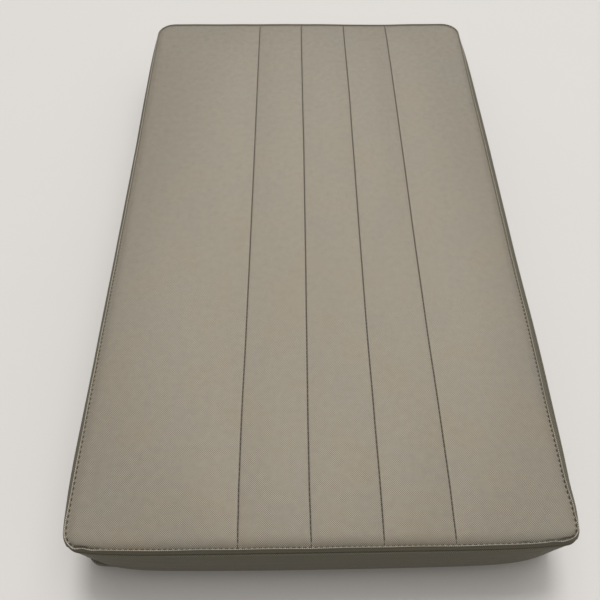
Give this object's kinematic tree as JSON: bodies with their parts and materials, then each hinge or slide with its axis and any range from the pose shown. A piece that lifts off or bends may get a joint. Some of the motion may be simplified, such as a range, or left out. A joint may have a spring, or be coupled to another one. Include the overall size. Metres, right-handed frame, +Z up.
{
  "type": "boat seat cushion",
  "caption": "Flat boxed boat seat cushion in upholstery vinyl, with lengthwise sewn channels, a rolled topstitched edge and a plain flat underside.",
  "frame": {"origin": "on the surface that the cushion lies on, under the middle of its bounding box", "axes": "+Z up through the crown, +Y along the sewn channels from the front edge to the back edge, +X to the right across them"},
  "size_m": [0.439, 0.7182, 0.0791],
  "materials": {
    "panel_vinyl": "taupe marine vinyl with a very fine woven-look emboss and a soft satin sheen",
    "boxing_vinyl": "the same vinyl on the sides, a little darker in the creases under the seam",
    "base_vinyl": "plain taupe vinyl on the underside",
    "thread": "dark taupe polyester thread"
  },
  "bodies": {
    "root": {"cushion_pad": "base_vinyl", "top_panel": "panel_vinyl", "boxing_band": "boxing_vinyl"}
  },
  "joints": []
}
